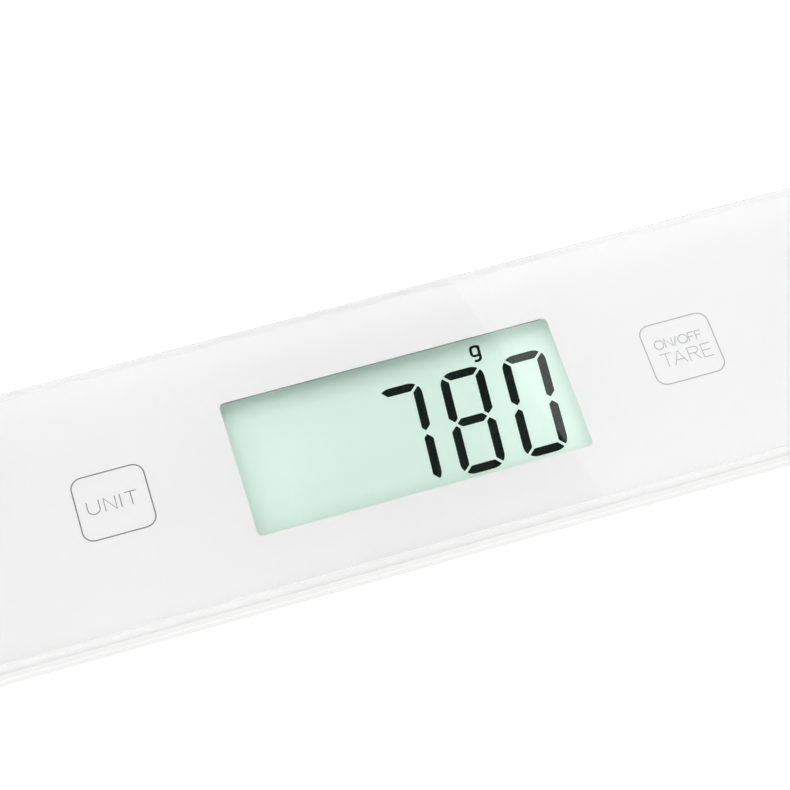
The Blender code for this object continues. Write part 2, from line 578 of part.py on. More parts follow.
def screws():
    """Screws that hold the board, and screws that close the case from below."""
    for index, (side_x, side_y) in enumerate(CORNERS.values(), start=1):
        head = PCB_TOP + 0.0001
        screw = turned(f"board_screw_{index}",
                       [(0.0008, BOARD_SCREW_TIP), (0.0008, head), (0.0016, head),
                        (0.0016, head + 0.0005), (0.0012, head + 0.0009)],
                       steel(), (side_x * PCB_SCREW_X, side_y * PCB_SCREW_Y, 0.0), 14)
        cross_recess(screw, index, head + 0.0005, head + 0.0012)
    for index, (x, y) in enumerate(CASE_SCREW_PLACES, start=1):
        seat = CASE_SCREW_SEAT
        screw = turned(f"case_screw_{index}",
                       [(0.0013, seat - 0.0012), (0.0017, seat - 0.0007), (0.0017, seat), (0.0009, seat),
                        (0.0009, CASE_SCREW_TIP - 0.0002), (0.0005, CASE_SCREW_TIP)],
                       steel(), (x, y, 0.0), 14)
        cross_recess(screw, index, seat - 0.0015, seat - 0.0007)


def cross_recess(screw, index, low, high):
    """Cross-shaped driver recess in a screw's head."""
    arm, reach = 0.00022, 0.0008
    cross = [(-reach, -arm), (-arm, -arm), (-arm, -reach), (arm, -reach), (arm, -arm), (reach, -arm),
             (reach, arm), (arm, arm), (arm, reach), (-arm, reach), (-arm, arm), (-reach, arm)]
    cut(screw, extruded(f"{screw.name}_recess", cross, "Z", low, high, place=tuple(screw.location)))


def main():
    clear_scene()
    glass_top()
    glass_adhesive()
    upper_frame()
    base_tray()
    battery_door()
    display()
    main_board()
    feet_and_cells()
    battery()
    screws()


main()
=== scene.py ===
import json
import math

import bmesh
import bpy
import numpy as np
from bpy.props import FloatProperty, FloatVectorProperty, PointerProperty
from bpy.types import Operator, Panel, PropertyGroup
from mathutils import Matrix, Vector

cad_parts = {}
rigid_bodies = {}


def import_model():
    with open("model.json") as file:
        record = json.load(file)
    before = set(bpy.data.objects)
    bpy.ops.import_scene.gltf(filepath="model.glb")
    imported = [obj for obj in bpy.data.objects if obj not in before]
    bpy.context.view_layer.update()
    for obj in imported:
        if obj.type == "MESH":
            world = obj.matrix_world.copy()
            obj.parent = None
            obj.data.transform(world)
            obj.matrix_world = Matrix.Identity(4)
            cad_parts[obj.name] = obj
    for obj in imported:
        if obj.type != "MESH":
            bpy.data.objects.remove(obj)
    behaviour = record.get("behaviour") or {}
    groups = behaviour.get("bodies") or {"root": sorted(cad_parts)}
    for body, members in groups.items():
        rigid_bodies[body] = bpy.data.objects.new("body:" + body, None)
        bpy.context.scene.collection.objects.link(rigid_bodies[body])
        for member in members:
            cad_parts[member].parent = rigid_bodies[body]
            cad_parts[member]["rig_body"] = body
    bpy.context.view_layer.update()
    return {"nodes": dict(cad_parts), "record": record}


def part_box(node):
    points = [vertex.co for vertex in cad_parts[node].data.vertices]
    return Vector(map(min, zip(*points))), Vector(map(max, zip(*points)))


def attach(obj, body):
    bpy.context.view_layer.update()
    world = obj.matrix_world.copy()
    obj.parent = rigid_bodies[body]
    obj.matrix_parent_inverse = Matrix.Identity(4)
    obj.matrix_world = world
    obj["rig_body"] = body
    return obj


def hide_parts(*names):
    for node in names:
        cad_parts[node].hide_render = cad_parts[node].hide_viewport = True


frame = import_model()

bl_info = {
    "name": "Slim Kitchen Scale",
    "version": (1, 0, 0),
    "blender": (4, 5, 0),
    "location": "View3D > Sidebar > Kitchen Scale",
    "description": "Finishes a bar-shaped glass kitchen scale around its fixed frame",
    "category": "Object",
}

HOUSING = "housing"
CORNERS = ("front_left", "front_right", "back_left", "back_right")

# Heights and outlines that the frame fixes
GLASS_LOW, GLASS_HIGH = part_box("glass_top")
FRAME_LOW, FRAME_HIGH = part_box("upper_frame")
CELL_LOW, CELL_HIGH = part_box("lcd_cell")
FILM_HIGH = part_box("lcd_reflector")[1]
BAR_LENGTH = GLASS_HIGH.x - GLASS_LOW.x
BAR_DEPTH = GLASS_HIGH.y - GLASS_LOW.y
CELL_LENGTH = CELL_HIGH.x - CELL_LOW.x
CELL_DEPTH = CELL_HIGH.y - CELL_LOW.y
MM = 0.001
SEAM = 0.3 * MM        # clearance that the frame leaves at each seam of the housing
LOWER_ARRIS = 0.005 * MM
CAP_FACING = 0.999     # faces of the glass plate whose normals are steeper than this are its flat faces

# Places on the glass and on the display, seen from above, from the middle of the bar
KEYS_OFFSET = (-0.4 * MM, 0.2 * MM)
DIGITS_MIDDLE = (11.95 * MM, -1.4 * MM)
UNIT_MIDDLE = (16.48 * MM, 10.8 * MM)


# ---------------------------------------------------------------- settings

def length_setting(name, description, default):
    return FloatProperty(name=name, description=description, default=default, unit="LENGTH", precision=5)


def colour_setting(name, description, default):
    return FloatVectorProperty(name=name, description=description, default=default, subtype="COLOR",
                               size=3, min=0.0, max=1.0)


class ScaleSizes(PropertyGroup):
    """Sizes of what is printed on the glass and shown on the display."""
    corner_radius: length_setting("Corner radius", "Radius of the bar's corners seen from above", 6 * MM)
    top_arris: length_setting("Top edge", "Rounding of the glass plate's upper edge", 0.25 * MM)
    window_length: length_setting("Window length", "Length of the display window in the print", 60 * MM)
    window_depth: length_setting("Window depth", "Depth of the display window in the print", 26 * MM)
    window_radius: length_setting("Window corner", "Corner radius of the display window", 1.0 * MM)
    print_shift: length_setting("Print shift", "How far the print lies in front of the middle", 0.3 * MM)
    key_x: length_setting("Key distance", "Distance of each touch key from the middle", 51.5 * MM)
    key_length: length_setting("Key length", "Length of a touch key's outline", 12.7 * MM)
    key_depth: length_setting("Key depth", "Depth of a touch key's outline", 12.0 * MM)
    key_radius: length_setting("Key corner", "Corner radius of a touch key's outline", 2.0 * MM)
    key_line: length_setting("Key line", "Line width of a touch key's outline", 0.21 * MM)
    digit_height: length_setting("Digit height", "Height of the large digits", 19.95 * MM)
    digit_width: length_setting("Digit width", "Outer width of the large digits", 8.08 * MM)
    digit_pitch: length_setting("Digit pitch", "Distance from one digit to the next", 11.48 * MM)
    segment_width: length_setting("Segment width", "Width of one bar of a digit", 1.6 * MM)
    digit_slant: FloatProperty(name="Digit slant", description="Lean of the digits to the right",
                               default=math.radians(5.0), subtype="ANGLE")


class ScaleColours(PropertyGroup):
    """Colours of the visible finishes."""
    print_white: colour_setting("Print", "White ceramic print behind the glass", (0.962, 0.960, 0.960))
    plastic_white: colour_setting("Housing", "White moulded plastic", (0.80, 0.80, 0.795))
    display_mint: colour_setting("Display", "Reflective film behind the display", (0.75, 0.935, 0.84))
    segment_dark: colour_setting("Segments", "Switched-on segments", (0.012, 0.020, 0.017))
    ink_left: colour_setting("Left key ink", "Ink of the left key", (0.13, 0.13, 0.13))
    # painted reflection: the right key's ink is lighter than the left key's, standing for the bright card
    # reflected over the right side of the plate
    ink_right_painted_reflection: colour_setting("Right key ink", "Ink of the right key", (0.46, 0.46, 0.46))
    pad_grey: colour_setting("Foot pads", "Rubber of the foot pads", (0.30, 0.30, 0.30))


# ---------------------------------------------------------------- surfaces

def corner_fan(length, depth, radius, steps):
    """Centres and outward directions round a rounded rectangle, anticlockwise.

    Each corner sweeps a quarter turn, so a point of the outline is its corner's centre plus radius
    times the direction."""
    quarter = np.arange(4)[:, None]
    angle = (quarter + np.linspace(0.0, 1.0, steps + 1)[None, :]) * np.pi / 2
    middle = (quarter + 0.5) * np.pi / 2
    centre = np.stack([np.sign(np.cos(middle)) * (length / 2 - radius),
                       np.sign(np.sin(middle)) * (depth / 2 - radius)], -1)
    centre = np.broadcast_to(centre, (4, steps + 1, 2)).reshape(-1, 2)
    direction = np.stack([np.cos(angle), np.sin(angle)], -1).reshape(-1, 2)
    return centre, direction


def rectangle_rings(length, depth, radius, inset, height, steps):
    """Grid of a rounded rectangle carried along a profile: centre + (radius - inset) * direction."""
    centre, direction = corner_fan(length, depth, radius, steps)
    flat = centre[None] + (radius - np.asarray(inset))[:, None, None] * direction[None]
    lift = np.broadcast_to(np.asarray(height)[:, None, None], flat[..., :1].shape)
    return np.concatenate([flat, lift], -1)


def turned_rings(radius, height, sides):
    """Grid of a turned body: radius and height of each ring, swept through a full turn."""
    angle = np.arange(sides) * 2 * np.pi / sides
    radius, height = np.asarray(radius)[:, None], np.asarray(height)[:, None]
    return np.stack([radius * np.cos(angle), radius * np.sin(angle), height + 0 * angle], -1)


def quarter_rounds(low, high, low_radius, high_radius, steps):
    """Insets and heights of a vertical side whose lower and upper edges are quarter rounds."""
    angle = np.linspace(0.0, np.pi / 2, steps + 1)
    inset = np.concatenate([low_radius * (1 - np.sin(angle)), high_radius * (1 - np.cos(angle))])
    height = np.concatenate([low + low_radius * (1 - np.cos(angle)),
                             high - high_radius * (1 - np.sin(angle))])
    return inset, height


def grid_faces(rows, columns, closed_rows=False):
    """Quads between neighbouring points of a grid, facing out when the rows rise anticlockwise."""
    index = np.arange(rows * columns).reshape(rows, columns)
    here = index if closed_rows else index[:-1]
    above = np.roll(index, -1, 0) if closed_rows else index[1:]
    after_here, after_above = np.roll(here, -1, 1), np.roll(above, -1, 1)
    return np.stack([here, after_here, after_above, above], -1).reshape(-1, 4)


def new_piece(name, points, faces, smooth=True, angle=40.0):
    """Object from whole arrays of points and faces, shaded smooth up to an angle."""
    mesh = bpy.data.meshes.new(name)
    corners = [list(map(int, face)) for face in faces]
    mesh.from_pydata(np.asarray(points).reshape(-1, 3).tolist(), [], corners)
    mesh.update()
    if smooth:
        mesh.shade_smooth()
        mesh.set_sharp_from_angle(angle=math.radians(angle))
    piece = bpy.data.objects.new(name, mesh)
    bpy.context.scene.collection.objects.link(piece)
    return piece


def capped(name, grid, smooth=True, angle=40.0):
    """Closed piece from rings: quads between them and a flat cap at each end."""
    rows, columns = grid.shape[:2]
    faces = grid_faces(rows, columns).tolist()
    faces.append(list(range(columns))[::-1])
    faces.append([(rows - 1) * columns + i for i in range(columns)])
    return new_piece(name, grid, faces, smooth, angle)


def looped(name, grid, smooth=True, angle=40.0):
    """Closed ring-shaped piece: the rings' last row joins the first."""
    rows, columns = grid.shape[:2]
    return new_piece(name, grid, grid_faces(rows, columns, closed_rows=True), smooth, angle)


def even_normals(piece):
    """Large flat faces keep flat shading next to rounded edges."""
    weighted = piece.modifiers.new("Flat faces", "WEIGHTED_NORMAL")
    weighted.keep_sharp = True
    weighted.weight = 90


def merged_copy(node, name, reshape=None):
    """Copy of a frame node with its loose triangles merged, which stands for that node."""
    merge_distance, sharp_angle = 0.002 * MM, math.radians(32)
    form = bmesh.new()
    form.from_mesh(frame["nodes"][node].data)
    bmesh.ops.remove_doubles(form, verts=form.verts, dist=merge_distance)
    mesh = bpy.data.meshes.new(name)
    form.to_mesh(mesh)
    form.free()
    points = np.empty(len(mesh.vertices) * 3)
    mesh.vertices.foreach_get("co", points)
    points = points.reshape(-1, 3)
    if reshape:
        mesh.vertices.foreach_set("co", reshape(points).ravel())
    mesh.update()
    mesh.shade_smooth()
    mesh.set_sharp_from_angle(angle=sharp_angle)
    piece = bpy.data.objects.new(name, mesh)
    bpy.context.scene.collection.objects.link(piece)
    even_normals(piece)
    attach(piece, frame["nodes"][node]["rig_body"])
    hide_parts(node)
    return piece


def place(piece, offset):
    """Move a piece's points, so that its object stays at the origin."""
    piece.data.transform(Matrix.Translation(Vector(offset)))
    return piece


def join_grids(grids):
    """Several closed bodies as one list of points and faces; each is (points, faces)."""
    points, faces, start = [], [], 0
    for body_points, body_faces in grids:
        points.append(np.asarray(body_points).reshape(-1, 3))
        faces.extend([[start + int(i) for i in face] for face in body_faces])
        start += len(points[-1])
    return np.concatenate(points), faces


def prism(outline, low, high):
    """Straight-sided body over a flat outline (anticlockwise), as (points, faces)."""
    count = len(outline)
    rings = [np.column_stack([outline, np.full(count, level)]) for level in (low, high)]
    faces = grid_faces(2, count).tolist() + [list(range(count))[::-1], [count + i for i in range(count)]]
    return np.concatenate(rings), faces


def ribbon(path, width, low, high, closed=False):
    """Flat bar along a path: the path's points moved half a width to each side, at two heights."""
    path = np.asarray(path, float)
    ahead = np.roll(path, -1, 0) - path
    behind = path - np.roll(path, 1, 0)
    if not closed:
        ahead[-1], behind[0] = behind[-1], ahead[0]
    ahead /= np.linalg.norm(ahead, axis=1)[:, None]
    behind /= np.linalg.norm(behind, axis=1)[:, None]
    tangent = ahead + behind
    tangent /= np.linalg.norm(tangent, axis=1)[:, None]
    side = np.stack([tangent[:, 1], -tangent[:, 0]], -1)
    mitre = width / 2 / np.maximum((tangent * ahead).sum(1), 0.5)[:, None]
    right, left = path + side * mitre, path - side * mitre
    count = len(path)
    ring = [(right, low), (right, high), (left, high), (left, low)]
    grid = np.stack([np.column_stack([flat, np.full(count, level)]) for flat, level in ring], 1)
    faces = grid_faces(count, 4, closed_rows=closed).tolist()
    if not closed:
        faces += [[3, 2, 1, 0], [4 * count - 4 + i for i in range(4)]]
    faces = [face[::-1] for face in faces]
    return grid.reshape(-1, 3), faces


# ---------------------------------------------------------------- letters and digits

def arc(centre, size, start, end, count=14):
    """Points on an ellipse between two angles in degrees."""
    angle = np.radians(np.linspace(start, end, count))
    return np.column_stack([centre[0] + size[0] * np.cos(angle), centre[1] + size[1] * np.sin(angle)])


def letter_strokes(letter):
    """Width and strokes of a plain thin capital one unit high; a stroke is (points, closed)."""
    if letter == "U":
        bowl = arc((0.42, 0.40), (0.42, 0.40), 180, 360)
        return 0.84, [(np.vstack([(0.0, 1.0), bowl, (0.84, 1.0)]), False)]
    if letter == "O":
        return 1.0, [(arc((0.5, 0.5), (0.5, 0.5), 0, 360, 33)[:-1], True)]
    if letter == "R":
        bowl = arc((0.46, 0.76), (0.24, 0.24), 90, -90)
        return 0.74, [(np.vstack([(0.0, 0.0), (0.0, 1.0), bowl, (0.02, 0.52)]), False),
                      (np.array([(0.38, 0.52), (0.74, 0.0)]), False)]
    straight = {
        "N": (0.78, [[(0, 0), (0, 1), (0.78, 0), (0.78, 1)]]),
        "I": (0.0, [[(0, 0), (0, 1)]]),
        "T": (0.82, [[(0, 1), (0.82, 1)], [(0.41, 1), (0.41, 0)]]),
        "F": (0.64, [[(0.64, 1), (0, 1), (0, 0)], [(0, 0.52), (0.54, 0.52)]]),
        "A": (0.88, [[(0, 0), (0.44, 1), (0.88, 0)], [(0.15, 0.33), (0.73, 0.33)]]),
        "E": (0.68, [[(0.68, 1), (0, 1), (0, 0), (0.68, 0)], [(0, 0.52), (0.60, 0.52)]]),
        "/": (0.38, [[(0, -0.05), (0.38, 1.05)]]),
    }
    width, strokes = straight[letter]
    return width, [(np.array(stroke, float), False) for stroke in strokes]


def word_bodies(word, centre, height, width, stroke, low, high):
    """Ribbons of a word's letters, spread evenly to fill its width about a centre; an A tucks under
    the bar of a T before it."""
    shapes = [letter_strokes(letter) for letter in word]
    tuck_in = -0.2
    tucks = [tuck_in if pair == ("T", "A") else 0.0 for pair in zip(word, word[1:])] + [0.0]
    gap = (width / height - sum(shape[0] for shape in shapes) - sum(tucks)) / (len(word) - 1)
    bodies, start = [], -width / 2
    for (letter_width, strokes), tuck in zip(shapes, tucks):
        for points, closed in strokes:
            path = points * height + (start + centre[0], centre[1] - height / 2)
            bodies.append(ribbon(path, stroke, low, high, closed))
        start += (letter_width + gap + tuck) * height
    return bodies


def digit_bodies(digit, centre, sizes, low, high):
    """Bars of a seven-bar digit: 45 degree splits at the corners and beside the middle bar,
    round outer corners, and a lean that moves each point sideways in step with its height."""
    width, height, bar = sizes.digit_width, sizes.digit_height, sizes.segment_width
    split = 0.48 * MM
    shift = split / math.sqrt(2)
    corner = 1.5 * bar
    clear = math.degrees(math.asin(split / 2 / corner))
    junction = 0.6 * bar
    middle = height / 2
    upright = np.vstack([[(junction, middle + shift), (bar, middle + shift + bar - junction),
                          (bar, height - bar - shift)],
                         arc((corner, height - corner), (corner, corner), 135 + clear, 180, 6),
                         [(0.0, middle + shift + junction)]])
    top = np.vstack([[(bar + shift, height - bar), (width - bar - shift, height - bar)],
                     arc((width - corner, height - corner), (corner, corner), 45 + clear, 90, 6),
                     arc((corner, height - corner), (corner, corner), 90, 135 - clear, 6)])
    half = bar / 2
    near, far = junction + shift, width - junction - shift
    across = np.array([(near, middle), (near + half, middle - half), (far - half, middle - half),
                       (far, middle), (far - half, middle + half), (near + half, middle + half)])

    def flip_x(outline):
        return (outline * (-1, 1) + (width, 0))[::-1]

    def flip_y(outline):
        return (outline * (1, -1) + (0, height))[::-1]

    bars = {"upper_left": upright, "upper_right": flip_x(upright), "lower_left": flip_y(upright),
            "lower_right": flip_y(flip_x(upright)), "top": top, "bottom": flip_y(top), "middle": across}
    left_out = {"7": ("upper_left", "lower_left", "middle", "bottom"), "8": (), "0": ("middle",)}[digit]
    lean = math.tan(sizes.digit_slant)
    bodies = []
    for name, outline in bars.items():
        if name not in left_out:
            flat = outline - (width / 2, middle)
            flat[:, 0] += flat[:, 1] * lean
            bodies.append(prism(flat + centre, low, high))
    return bodies


def gram_bodies(centre, low, high):
    """Small g: a closed bowl, and a stem that turns into a hook below it."""
    width, height, lean = 1.45 * MM, 2.9 * MM, math.tan(math.radians(4))
    line = 0.50 * MM
    bowl_low, bowl_high = 0.36 * height, height
    bowl_middle, bowl_half = (bowl_low + bowl_high) / 2, (bowl_high - bowl_low) / 2
    angle = np.linspace(0, 2 * np.pi, 33)[:-1]
    squared = 0.62
    across = np.sign(np.cos(angle)) * np.abs(np.cos(angle)) ** squared
    upward = np.sign(np.sin(angle)) * np.abs(np.sin(angle)) ** squared
    bowl = np.column_stack([width / 2 * (1 + across), bowl_middle + bowl_half * upward])
    hook = arc((width / 2, 0.20 * height), (width / 2, 0.20 * height), 0, -130, 10)
    stem = np.vstack([(width, 1.02 * height), hook])
    bodies = []
    for path, closed in ((bowl, True), (stem, False)):
        path = path - (width / 2, height / 2)
        path[:, 0] += path[:, 1] * lean
        bodies.append(ribbon(path + centre, line, low, high, closed))
    return bodies


# ---------------------------------------------------------------- finishes

class Finish:
    """One material and short ways to add and join its nodes."""

    def __init__(self, name):
        self.material = bpy.data.materials.new(name)
        self.material.use_nodes = True
        self.nodes = self.material.node_tree.nodes
        self.links = self.material.node_tree.links
        self.shader = self.nodes["Principled BSDF"]
        self.place = self.nodes.new("ShaderNodeTexCoord").outputs["Object"]

    def set(self, **values):
        for name, value in values.items():
            self.shader.inputs[name.replace("_", " ").title().replace("Ior", "IOR")].default_value = value
        return self

    def add(self, kind, inputs=(), **settings):
        node = self.nodes.new(kind)
        for name, value in settings.items():
            setattr(node, name, value)
        for key, value in dict(inputs).items():
            if isinstance(value, bpy.types.NodeSocket):
                self.links.new(value, node.inputs[key])
            else:
                node.inputs[key].default_value = value
        return node

    def stretched(self, scale):
        return self.add("ShaderNodeMapping", {"Vector": self.place, "Scale": scale}).outputs["Vector"]

    def noise(self, scale, detail=3.0, vector=None):
        return self.add("ShaderNodeTexNoise", {"Vector": vector or self.place, "Scale": scale,
                                               "Detail": detail}).outputs["Fac"]

    def band(self, value, low, high, out_low, out_high):
        return self.add("ShaderNodeMapRange", {"Value": value, "From Min": low, "From Max": high,
                                               "To Min": out_low, "To Max": out_high}).outputs["Result"]

    def blend(self, factor, first, second):
        mix = self.add("ShaderNodeMix", data_type="RGBA")
        self.links.new(factor, mix.inputs["Factor"])
        for socket, colour in ((mix.inputs[6], first), (mix.inputs[7], second)):
            if isinstance(colour, bpy.types.NodeSocket):
                self.links.new(colour, socket)
            else:
                socket.default_value = (*colour, 1.0)
        return mix.outputs[2]

    def wear_and_highlight_edge(self, radius):
        """Mask that is high where the surface turns within a radius: rounded against true normal."""
        rounded = self.add("ShaderNodeBevel", {"Radius": radius}, samples=6).outputs["Normal"]
        true = self.add("ShaderNodeNewGeometry").outputs["Normal"]
        dot = self.add("ShaderNodeVectorMath", {0: rounded, 1: true}, operation="DOT_PRODUCT")
        return self.band(dot.outputs["Value"], 0.98, 0.80, 0.0, 1.0)

    def bump(self, height, distance):
        node = self.add("ShaderNodeBump", {"Height": height, "Distance": distance, "Strength": 1.0})
        self.links.new(node.outputs["Normal"], self.shader.inputs["Normal"])

    def colour(self, socket):
        self.links.new(socket, self.shader.inputs["Base Color"])

    def roughness(self, socket):
        self.links.new(socket, self.shader.inputs["Roughness"])

    def surface(self, socket):
        self.links.new(socket, self.nodes["Material Output"].inputs["Surface"])


def shade(colour, factor):
    """A colour made darker or lighter, kept within the range of a painted surface."""
    return tuple(min(1.0, channel * factor) for channel in colour)


def grained(name, colour, rough, grain=2500.0, depth=0.01 * MM, tone=0.03, stretch=(1, 1, 1),
            metallic=0.0, edge=0.0):
    """Common base of most finishes: broad tone changes, fine grain in gloss and bump, and edges painted
    lighter, part rubbing wear and part painted highlight.
    """
    finish = Finish(name).set(metallic=metallic)
    fine = finish.noise(grain, 4.0, finish.stretched(stretch))
    broad = finish.band(finish.noise(45.0, 2.0), 0.3, 0.7, 0.0, 1.0)
    mottled = finish.blend(broad, shade(colour, 1 - tone), shade(colour, 1 + tone / 2))
    if edge:
        # edges painted lighter: part rubbing wear, part painted highlight
        wear_and_highlight = finish.wear_and_highlight_edge(0.25 * MM)
        mottled = finish.blend(finish.band(wear_and_highlight, 0.0, 1.0, 0.0, edge), mottled, shade(colour, 1.12))
    finish.colour(mottled)
    finish.roughness(finish.band(fine, 0.3, 0.7, rough * 0.85, rough * 1.15))
    finish.bump(fine, depth)
    return finish


def polished_glass(name, tint, smear, ior=1.5):
    """Clear glass with a faint tint and a just uneven polish."""
    finish = Finish(name).set(transmission_weight=1.0, ior=ior)
    finish.shader.inputs["Base Color"].default_value = (*tint, 1.0)
    patches = finish.noise(60.0, 3.0)
    finish.roughness(finish.band(patches, 0.45, 0.75, 0.0, smear))
    return finish


def frosted_inside(finish, colour=(0.96, 0.95, 0.955), painted_glow_strength=0.15):
    """Let the finish look frosted white from inside the glass, with a painted glow that stands for light
    from outside coming through it.
    """
    inside = finish.add("ShaderNodeNewGeometry").outputs["Backfacing"]
    frost = finish.add("ShaderNodeBsdfDiffuse", {"Color": (*colour, 1.0)}).outputs["BSDF"]
    # painted light: an emission that stands for light from outside coming through the frosted edge
    through = finish.add("ShaderNodeEmission", {"Strength": painted_glow_strength}).outputs["Emission"]
    lit = finish.add("ShaderNodeAddShader", {0: frost, 1: through}).outputs["Shader"]
    mixed = finish.add("ShaderNodeMixShader", {0: inside, 1: finish.shader.outputs["BSDF"], 2: lit})
    finish.surface(mixed.outputs["Shader"])
    return finish.material


def printed_white(name, colour):
    """Screen-printed ceramic: matt, very finely speckled, and with painted shade slightly darker towards
    each end of the bar.
    """
    finish = grained(name, colour, 0.55, grain=5000.0, depth=0.002 * MM, tone=0.008)
    speckled = finish.shader.inputs["Base Color"].links[0].from_socket
    along = finish.add("ShaderNodeSeparateXYZ", {"Vector": finish.place}).outputs["X"]
    outward = finish.add("ShaderNodeMath", {0: along}, operation="ABSOLUTE").outputs["Value"]
    # painted shade: the print is slightly darker towards each end of the bar
    painted_ends = finish.band(outward, 20 * MM, 75 * MM, 0.0, 1.0)
    finish.colour(finish.blend(painted_ends, speckled, shade(colour, 0.98)))
    return finish.material


def key_ink(name, colour):
    """Thin grey ink with a faint mottle."""
    return grained(name, colour, 0.5, grain=9000.0, depth=0.002 * MM, tone=0.08).material


def moulded_plastic(name, colour):
    """Injection-moulded plastic: spark-eroded grain, faint flow tone, edges painted bright as a highlight
    and as rubbing.
    """
    return grained(name, colour, 0.32, grain=2600.0, depth=0.012 * MM, tone=0.02, edge=0.35).material


def display_film(name, colour):
    """Brushed reflective film: fine crosswise streaks over a soft sheen, and a faint painted glow, though it
    is no lamp. Painted shade weakens the glow under the rear edge of the window, and painted light
    strengthens it towards each end, most of all the right one."""
    finish = grained(name, colour, 0.45, grain=1800.0, depth=0.003 * MM, tone=0.02, stretch=(1.0, 0.15, 1.0))
    span = finish.add("ShaderNodeSeparateXYZ", {"Vector": finish.place}).outputs
    # painted shade: the glow fades under the rear edge of the window
    painted_back_shade = finish.band(span["Y"], FILM_HIGH.y - 4.5 * MM, FILM_HIGH.y - 1.0 * MM, 0.93, 0.42)
    # painted light: the glow grows towards each end, most of all the right one
    right = finish.band(span["X"], 8 * MM, 28 * MM, 0.0, 0.6)
    left = finish.band(span["X"], -12 * MM, -30 * MM, 0.0, 0.25)
    painted_ends = finish.add("ShaderNodeMath", {0: left, 1: right}, operation="ADD").outputs["Value"]
    glow = finish.add("ShaderNodeMath", {0: painted_back_shade, 1: painted_ends}, operation="ADD").outputs["Value"]
    tinted = finish.add("ShaderNodeVectorMath", {0: colour, 1: glow}, operation="MULTIPLY").outputs["Vector"]
    finish.links.new(tinted, finish.shader.inputs["Emission Color"])
    # painted glow: the film gives off light though it is no lamp
    finish.set(emission_strength=0.26)
    return finish.material


def segment_ink(name, colour):
    """Switched-on segments: they absorb light and have no gloss of their own inside the cell."""
    finish = grained(name, colour, 0.6, grain=4000.0, depth=0.001 * MM, tone=0.15)
    return finish.set(specular_ior_level=0.0).material


def plated_steel(name, colour=(0.60, 0.61, 0.63), rough=0.28, stretch=(1, 12, 1)):
    """Metal sheet with rolling streaks along one way, and rubbed edges painted lighter, also as a highlight.
    """
    return grained(name, colour, rough, grain=900.0, depth=0.004 * MM, tone=0.10, stretch=stretch,
                   metallic=1.0, edge=0.4).material


def soft_rubber(name, colour):
    """Matt rubber, coarse-grained, with its edges painted lighter as grey wear and as a highlight."""
    return grained(name, colour, 0.75, grain=1500.0, depth=0.02 * MM, tone=0.12, edge=0.3).material


def circuit_green(name):
    """Solder mask over copper: parallel tracks stand out lighter and slightly proud."""
    finish = grained(name, (0.02, 0.20, 0.07), 0.4, grain=1200.0, depth=0.004 * MM, tone=0.1)
    wave = finish.add("ShaderNodeTexWave", {"Vector": finish.place, "Scale": 240.0, "Distortion": 2.0,
                                            "Detail": 0.0}, wave_type="BANDS").outputs["Fac"]
    tracks = finish.band(wave, 0.55, 0.62, 0.0, 1.0)
    finish.colour(finish.blend(tracks, (0.015, 0.16, 0.055), (0.03, 0.30, 0.11)))
    finish.bump(tracks, 0.02 * MM)
    return finish.material


def inner_finishes():
    """Finishes of the parts inside the housing, by the frame's material slots."""
    return {
        "adhesive_sheet": grained("adhesive_sheet", (0.82, 0.82, 0.78), 0.6, tone=0.06).material,
        "zinc_steel": plated_steel("zinc_steel"),
        "gauge_foil": grained("gauge_foil", (0.72, 0.45, 0.18), 0.4, stretch=(1, 20, 1), tone=0.2).material,
        "lead_sleeve": grained("lead_sleeve", (0.72, 0.72, 0.70), 0.5, tone=0.06).material,
        "red_sleeve": grained("red_sleeve", (0.55, 0.03, 0.03), 0.5, tone=0.12).material,
        "black_sleeve": grained("black_sleeve", (0.02, 0.02, 0.02), 0.5, tone=0.2).material,
        "spring_bronze": plated_steel("spring_bronze", (0.70, 0.62, 0.45), 0.25),
        "cell_can": plated_steel("cell_can", (0.72, 0.72, 0.74), 0.18, (1, 1, 1)),
        "can_aluminium": plated_steel("can_aluminium", (0.75, 0.75, 0.76), 0.3),
        "chip_resin": grained("chip_resin", (0.02, 0.02, 0.022), 0.55, depth=0.02 * MM, tone=0.25).material,
        "green_board": circuit_green("green_board"),
        # the strip's pale grey-green shows along the rear edge of the display window, where it also serves
        # as painted shade
        "zebra_rubber": grained("zebra_rubber", (0.52, 0.58, 0.54), 0.6, stretch=(30, 0.2, 1),
                                tone=0.3).material,
        "white_abs": moulded_plastic("white_abs", (0.86, 0.86, 0.855)),
        "grey_rubber": soft_rubber("grey_rubber", (0.30, 0.30, 0.30)),
    }


def dress(piece, finish, body=HOUSING):
    """Give a new piece its finish, its body and the slot it takes the finish from."""
    piece.data.materials.clear()
    piece.data.materials.append(finish)
    if "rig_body" not in piece:
        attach(piece, body)
    return piece


# ---------------------------------------------------------------- pieces

def settings():
    """The scene's sizes and colours."""
    scene = bpy.context.scene
    return scene.scale_sizes, scene.scale_colours


